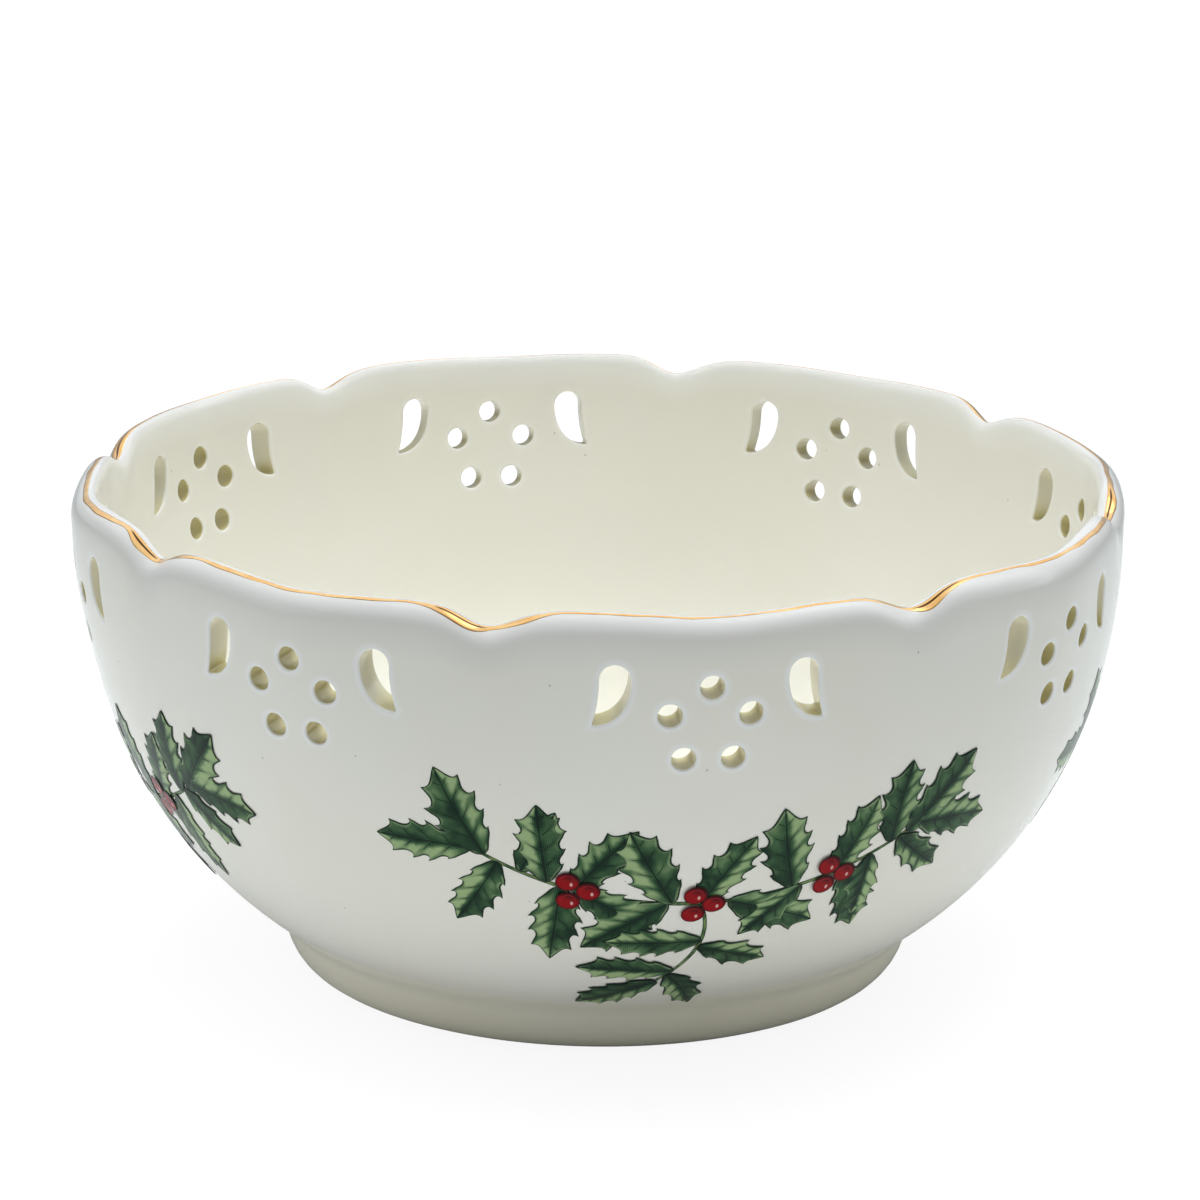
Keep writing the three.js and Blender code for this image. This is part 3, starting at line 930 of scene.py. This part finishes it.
# Gold: a thin film on the roll of the lip, spread lower in each notch and uneven as brushwork is
def gild_lip():
    clay = Clay("up", "wide")
    rows = []
    for i in range(GILT_COLUMNS):
        angle = 2 * math.pi * i / GILT_COLUMNS
        past = from_lobe(set_even(angle) + LOBE_ANGLE / 2) * math.copysign(1, math.sin(angle))
        far_side = bell(past - GILT_SHOULDER, GILT_SHOULDER)
        near_side = GILT_NEAR_SHARE * bell(past + GILT_SHOULDER, GILT_SHOULDER)
        spread = max(far_side, near_side)
        plain = GILT_LOW + GILT_LOW_SWAY * math.cos(2 * angle - GILT_SWAY_TURN)
        waver = sum(size * math.sin(count * angle + start) for size, count, start in GILT_WAVERS)
        notch_low = rad(GILT_NOTCH_LOWS[int(angle / LOBE_ANGLE)])
        drift = sum(rad(stray) * bell(angle - rad(place), DRIFT_SPREAD) for place, stray in GILT_DRIFTS)
        top = GILT_TOP + 0.3 * waver - drift
        low = lerp(plain - drift, notch_low, spread) + (0.6 + 1.2 * spread) * waver
        ring = []
        for k in range(GILT_ROWS + 1):
            share = k / GILT_ROWS
            lift = GILT_LIFT * (1 - (2 * share - 1) ** 6)
            place = over_lip(angle, lerp(low, top, share), lift)
            ring.append(clay.point(place, up=share, wide=spread))
        for k in range(GILT_ROWS, -1, -1):
            share = k / GILT_ROWS
            place = over_lip(angle, lerp(low, top, share), -GILT_LIFT)
            ring.append(clay.point(place, up=share))
        rows.append(ring)
    for i, ring in enumerate(rows):
        following = rows[(i + 1) % GILT_COLUMNS]
        for k in range(len(ring)):
            j = (k + 1) % len(ring)
            clay.face(ring[k], following[k], following[j], ring[j])
    return clay.piece("gilt_band", fired_gold())


# Holly: places are (sideways, height), measured round the wall from the spray's heart at its height
spray_radius = wall_radius(SPRAY_HEIGHT)


def on_wall(turn, side, z, lift):
    angle = turn + side / spray_radius
    return outside(angle, z) + outward(outside, angle, z) * lift


def from_heart(side, rise):
    return Vector((side, SPRAY_HEIGHT + rise))


def main_stem(t):
    left = from_heart(-STEM_REACH, STEM_RISE)
    right = from_heart(STEM_REACH, STEM_RISE)
    return cubic(left, from_heart(-STEM_PULL, -STEM_SAG), from_heart(STEM_PULL, -STEM_SAG), right, t)


CLUSTERS = (0.23, 0.5, 0.79)
LEFT, HEART, RIGHT = CLUSTERS


def tail_stem(t):
    bend = from_heart(TAIL_SWING, -TAIL_BEND)
    end = from_heart(-TAIL_SWING, -TAIL_DROP)
    return main_stem(HEART) * (1 - t) ** 2 + bend * (2 * t * (1 - t)) + end * t * t


# Leaves: stem, place along it, heading in degrees from rightwards, length
LEAVES = [
    (main_stem, 0, 178, LEAF),
    (main_stem, 0.03, 118, LONG_LEAF),
    (main_stem, 0.06, 244, LEAF),
    (main_stem, 0.11, 62, SHORT_LEAF),
    (main_stem, 0.17, 96, LEAF),
    (main_stem, 0.2, 262, LONG_LEAF),
    (main_stem, LEFT, 58, LEAF),
    (main_stem, LEFT, -34, LEAF),
    (main_stem, 0.43, 216, LONG_LEAF),
    (main_stem, 0.44, 118, LONG_LEAF),
    (main_stem, HEART, 66, LEAF),
    (main_stem, 0.56, -18, LONG_LEAF),
    (main_stem, 0.7, 108, LONG_LEAF),
    (main_stem, 0.72, 232, SHORT_LEAF),
    (main_stem, RIGHT, 64, LEAF),
    (main_stem, 0.82, -60, LEAF),
    (main_stem, 0.88, -88, SHORT_LEAF),
    (main_stem, 0.93, 94, LEAF),
    (main_stem, 0.95, -42, SHORT_LEAF),
    (main_stem, 0.97, 48, LONG_LEAF),
    (main_stem, 1, -2, LEAF),
    (tail_stem, 0.42, 184, LEAF),
    (tail_stem, 0.5, -24, SHORT_LEAF),
    (tail_stem, 0.84, 172, LEAF),
    (tail_stem, 0.9, -58, SHORT_LEAF),
    (tail_stem, 1, 218, LEAF),
]


def leaf_edge(length, shape):
    """Stations along a leaf: way along its middle, half width, and how far its edge leans forward."""
    count = 4 if length > SHORT_LEAF else 3
    gap = SPINE_RUN / (count - 1)
    spines = [SPINE_START + gap * k + shape.uniform(-SPINE_STRAY, SPINE_STRAY) for k in range(count)]

    def full(share):
        swell = math.sin(math.pi * min(share * 0.94 + 0.03, 1))
        return length / 2 * LEAF_SHARE * swell**LEAF_ROUNDNESS

    tips = [STALK_HALF] + [full(share) * shape.uniform(0.93, 1.05) for share in spines] + [TIP_HALF]
    spines = [0.0] + spines + [1.0]
    stations = []
    for k in range(count + 1):
        for i in range(SPINE_ARC):
            x = i / SPINE_ARC
            share = lerp(spines[k], spines[k + 1], x)
            arc = math.sin(math.pi * x)
            if k == 0:
                half = lerp(tips[0], tips[1], x**LEAF_ROUNDNESS) * (1 - STALK_HOLLOW * arc**0.8)
            else:
                hollow = SPINE_HOLLOW if k < count else TIP_HOLLOW
                half = lerp(tips[k], tips[k + 1], x) * (1 - hollow * arc**0.75)
            lean = 0.0
            if 0 < k:
                lean += max(0, 1 - 3 * x) ** 2
            if k < count:
                lean += 0.35 * max(0, 3 * x - 2) ** 2
            stations.append((share * length, half, lean * SPINE_LEAN * length))
    stations.append((length, 0.04, 0.0))
    return stations


def print_leaf(film, turn, start, heading, length, lift, shape):
    upright = wall_normal(start.y).x
    narrowing = spray_radius / wall_radius(start.y)
    bend = shape.uniform(-LEAF_BEND, LEAF_BEND)
    tone = shape.uniform(0.8, 1.15)
    turned = shape.choice((-1.0, 1.0))
    way = rad(heading)
    pitch = VEIN_PITCH * length
    rows = []
    for along, half, lean in leaf_edge(length, shape):
        row = []
        for k in range(-LEAF_COLUMNS, LEAF_COLUMNS + 1):
            share = k / LEAF_COLUMNS
            forward = along + lean * abs(share) ** 3
            across = half * share
            aside = across + bend * (along / length) ** 2
            side = forward * math.cos(way) - aside * math.sin(way)
            rise = forward * math.sin(way) + aside * math.cos(way)
            low = 0.5 * lift if abs(k) == LEAF_COLUMNS else lift
            place = on_wall(turn, start.x + side * narrowing, start.y + rise * upright, low)
            margin = min(half * (1 - abs(share)), length - along + 0.05)
            row.append(film.point(place, along=forward, across=across, margin=margin,
                                  width=half, tone=tone, pitch=pitch, turned=turned))
        rows.append(row[::-1])
    film.strips(rows)


def print_stem(film, turn, stem, lift):
    rows = []
    for i in range(STEM_STEPS + 1):
        t = i / STEM_STEPS
        middle = stem(t)
        along = (stem(min(t + 0.01, 1)) - stem(max(t - 0.01, 0))).normalized()
        aside = Vector((-along.y, along.x))
        half = STEM_WIDTH / 2 * lerp(1.0, 0.75, abs(2 * t - 1))
        row = []
        for share in (1, 0.6, 0, -0.6, -1):
            spot = middle + aside * half * share
            row.append(film.point(on_wall(turn, spot.x, spot.y, lift), along=t, across=share))
        rows.append(row)
    film.strips(rows, finish=1)


def print_berry(film, turn, middle, lift):
    upright = wall_normal(middle.y).x
    narrowing = spray_radius / wall_radius(middle.y)
    centre = film.point(on_wall(turn, middle.x, middle.y, lift), margin=1.0)
    rings = []
    for k in range(1, BERRY_ROUNDS + 1):
        share = k / BERRY_ROUNDS
        ring = []
        for i in range(BERRY_POINTS):
            way = 2 * math.pi * i / BERRY_POINTS
            x = share * math.cos(way)
            y = share * math.sin(way)
            side = middle.x + x * BERRY_RADIUS * narrowing
            height = middle.y + y * BERRY_RADIUS * upright
            place = on_wall(turn, side, height, lift)
            ring.append(film.point(place, along=y, across=x, margin=1 - share))
        rings.append(ring)
    for i in range(BERRY_POINTS):
        j = (i + 1) % BERRY_POINTS
        film.face(centre, rings[0][i], rings[0][j], finish=2)
        for inner, outer in zip(rings, rings[1:]):
            film.face(inner[i], outer[i], outer[j], inner[j], finish=2)


def print_spray(name, turn, finishes):
    film = Clay("along", "across", "margin", "width", "tone", "pitch", "turned")
    shape = random.Random(SPRAY_SEED)
    print_stem(film, turn, main_stem, PRINT_LIFT)
    print_stem(film, turn, tail_stem, PRINT_LIFT)
    lift = PRINT_LIFT + LAYER_LIFT
    for stem, t, heading, length in LEAVES:
        print_leaf(film, turn, stem(t), heading, length, lift, shape)
        lift += LAYER_LIFT
    for t in CLUSTERS:
        for k in range(BERRIES):
            way = 2 * math.pi * k / BERRIES
            middle = main_stem(t) + BERRY_SPACING * Vector((math.cos(way), math.sin(way)))
            print_berry(film, turn, middle, lift)
            lift += LAYER_LIFT
    return film.piece(name, *finishes)


# Pieces
bowl = cast_bowl()
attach(bowl, "root")
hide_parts("bowl_body")

gilt = gild_lip()
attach(gilt, "root")
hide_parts("gilt_rim")

enamels = (leaf_enamel(), stem_enamel(), berry_enamel())
for number in range(1, SPRAYS + 1):
    spray = print_spray(f"holly_spray_{number}", (number - 1) * 2 * math.pi / SPRAYS, enamels)
    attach(spray, "root")
    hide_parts(f"holly_transfer_{number}")


# Floor: pale and matt, lighter to the eye so that it meets the background, and glowing in a ring round the
# foot though it is no lamp
def lay_floor():
    f = Finish("pale_floor")
    grain = f.noise(6, 2, 0.5)
    pale = (0.49, 0.51, 0.52, 1)
    pale_grain = (0.46, 0.48, 0.49, 1)
    painted_bounce_glow = (0.42, 0.42, 0.415, 1)
    near_white = (1.06, 1.06, 1.06, 1)
    far_white = (1.2, 1.2, 1.2, 1)
    paper = f.blend(grain * 0.15, pale, pale_grain)
    matt = f.node("BsdfDiffuse", None, {"Color": paper})
    place = f.node("TexCoord", output="Object")
    away = f.node("VectorMath", {"operation": "LENGTH"}, {0: place}, output="Value")
    oval = (1.18, 0.94, 1)
    round_foot = f.node("VectorMath", {"operation": "MULTIPLY"}, {0: place, 1: oval})
    aside = f.node("VectorMath", {"operation": "LENGTH"}, {0: round_foot}, output="Value")
    # Painted light: a ring of floor round the foot glows, though it is no lamp, to light the bowl's lower
    # wall as bounce light would
    near = aside.step(0.045, 0.11) * (1 - away.step(0.2, 0.6))
    bounce = f.node("Emission", None, {"Color": f.blend(near, (0, 0, 0, 1), painted_bounce_glow), "Strength": 1.0})
    lit = f.node("AddShader", None, {0: matt, 1: bounce})
    paper_white = f.blend(away.step(0.2, 0.6), near_white, far_white)
    white = f.node("Emission", None, {"Color": paper_white, "Strength": 1.0})
    share = f.node("LightPath", output="Is Camera Ray") * 0.85
    f.node("OutputMaterial", None, {"Surface": f.node("MixShader", None, {0: share, 1: lit, 2: white})})
    mesh = bpy.data.meshes.new("floor")
    size = 4
    corners = [(-size, -size, 0), (size, -size, 0), (size, size, 0), (-size, size, 0)]
    mesh.from_pydata(corners, [], [(0, 1, 2, 3)])
    mesh.materials.append(f.material)
    floor = bpy.data.objects.new("floor", mesh)
    bpy.context.scene.collection.objects.link(floor)


# Studio: white to the eye, and to the gloss a tent that is dim in front and brightest overhead to the right
def light_room():
    world = bpy.data.worlds.new("studio")
    bpy.context.scene.world = world
    f = Finish("studio", world)
    ways = f.node("LightPath")
    path = ways.socket.node.outputs
    seen = Wire(f, path["Is Camera Ray"]).most(Wire(f, path["Is Transmission Ray"]))
    shiny = Wire(f, path["Is Glossy Ray"])
    way = f.node("TexCoord", output="Generated")
    back = f.node("SeparateXYZ", None, {"Vector": way}, output="Y")
    rise = f.node("SeparateXYZ", None, {"Vector": way}, output="Z")
    right = f.node("SeparateXYZ", None, {"Vector": way}, output="X")
    tent_slope = 0.577
    past = back - tent_slope * rise
    tint = (0.93, 1.0, 1.05, 1)

    def wall(level):
        return f.node("Background", None, {"Color": tint, "Strength": level})

    def mix(share, one, other):
        return f.node("MixShader", None, {0: share, 1: one, 2: other})

    side = mix(rise.step(0.15, 0.4), wall(0.5), wall(1.1))
    ceiling = mix(right.step(0.15, 0.4), wall(1.0), wall(2.5))
    front = mix(rise.step(0.45, 0.7), wall(0.16), wall(0.9))
    tent = mix(back.step(-0.55, 0.15), front, mix(past.step(-0.03, 0), ceiling, side))
    room = mix(shiny, wall(0.1), tent)
    white = f.node("Background", None, {"Color": (1, 1, 1, 1), "Strength": 1.0})
    f.node("OutputWorld", None, {"Surface": mix(seen, room, white)})


# Lamps: name, place, height that it is aimed at, width, power
LAMPS = (
    ("top_light", (0.1, 0.12, 1.5), 0.05, 1.2, 26),
    ("left_light", (-1.3, 0.45, 0.55), 0.06, 0.9, 2.4),
    ("front_left_light", (-1.1, -0.9, 0.8), 0.06, 0.9, 3.0),
    ("front_right_light", (1.1, -0.9, 0.8), 0.06, 0.9, 2.8),
)


def soft_box(name, place, aim_height, width, power):
    lamp = bpy.data.lights.new(name, "AREA")
    lamp.shape = "SQUARE"
    lamp.size = width
    lamp.energy = power
    lamp.color = (0.95, 1.0, 1.02)
    thing = bpy.data.objects.new(name, lamp)
    thing.location = place
    aim = Vector((0, 0, aim_height)) - Vector(place)
    thing.rotation_euler = aim.to_track_quat("-Z", "Y").to_euler()
    thing.visible_glossy = False
    bpy.context.scene.collection.objects.link(thing)


# Camera: seen from a little above the lip, with the lobe turned to its right
AIM = Vector((0, 0, LIP_HEIGHT)) * MM
AZIMUTH = rad(-12.1)
ELEVATION = rad(14.9)
DISTANCE = 0.990
PITCH = rad(-1.25)
ROLL = rad(-0.75)
SENSOR = 36.0
FOCUS = 5110 / 1200  # focal length over the picture's width


def set_camera():
    away = Vector((
        math.cos(ELEVATION) * math.sin(AZIMUTH),
        -math.cos(ELEVATION) * math.cos(AZIMUTH),
        math.sin(ELEVATION),
    ))
    right = Vector((math.cos(AZIMUTH), math.sin(AZIMUTH), 0))
    forward = Matrix.Rotation(PITCH, 3, right) @ -away
    right = Matrix.Rotation(ROLL, 3, forward) @ right
    up = right.cross(forward)
    lens = bpy.data.cameras.new("camera")
    lens.sensor_width = SENSOR
    lens.lens = SENSOR * FOCUS
    camera = bpy.data.objects.new("camera", lens)
    turned = Matrix((right, up, -forward)).transposed().to_4x4()
    camera.matrix_world = Matrix.Translation(AIM + away * DISTANCE) @ turned
    bpy.context.scene.collection.objects.link(camera)
    bpy.context.scene.camera = camera


lay_floor()
light_room()
for lamp in LAMPS:
    soft_box(*lamp)
set_camera()
bpy.context.scene.view_settings.view_transform = "Standard"
